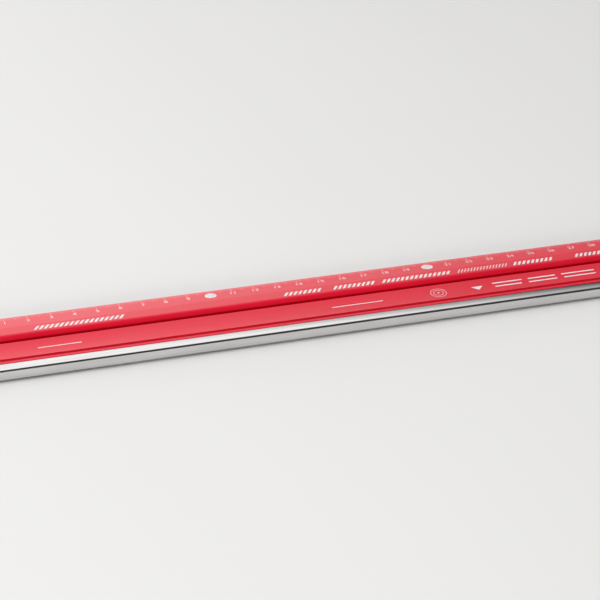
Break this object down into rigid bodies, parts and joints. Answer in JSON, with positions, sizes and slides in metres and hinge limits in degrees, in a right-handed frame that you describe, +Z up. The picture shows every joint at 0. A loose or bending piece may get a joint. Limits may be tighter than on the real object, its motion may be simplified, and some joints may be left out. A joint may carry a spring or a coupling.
{
  "type": "cutting ruler",
  "caption": "Non-slip cutting ruler: a red anodised aluminium profile with a bevelled centimetre scale, a polished steel cutting edge and rubber grip strips underneath.",
  "frame": {"origin": "on the table, under the middle of the ruler, at the centre of its footprint", "axes": "+X along the scale, the way its numbers rise; +Y from the steel cutting edge to the scale edge; +Z up, out of the printed face"},
  "size_m": [0.52, 0.045, 0.0062],
  "materials": {
    "anodised_red": "satin, red anodised",
    "polished_steel": "polished stainless, near mirror",
    "grip_rubber": "matte",
    "print_white": "thin screen-printed ink",
    "print_grey": "thin screen-printed ink"
  },
  "bodies": {
    "root": {"profile": "anodised_red", "cutting_edge": "polished_steel", "grip_strip_front": "grip_rubber", "grip_strip_rear": "grip_rubber"}
  },
  "joints": []
}
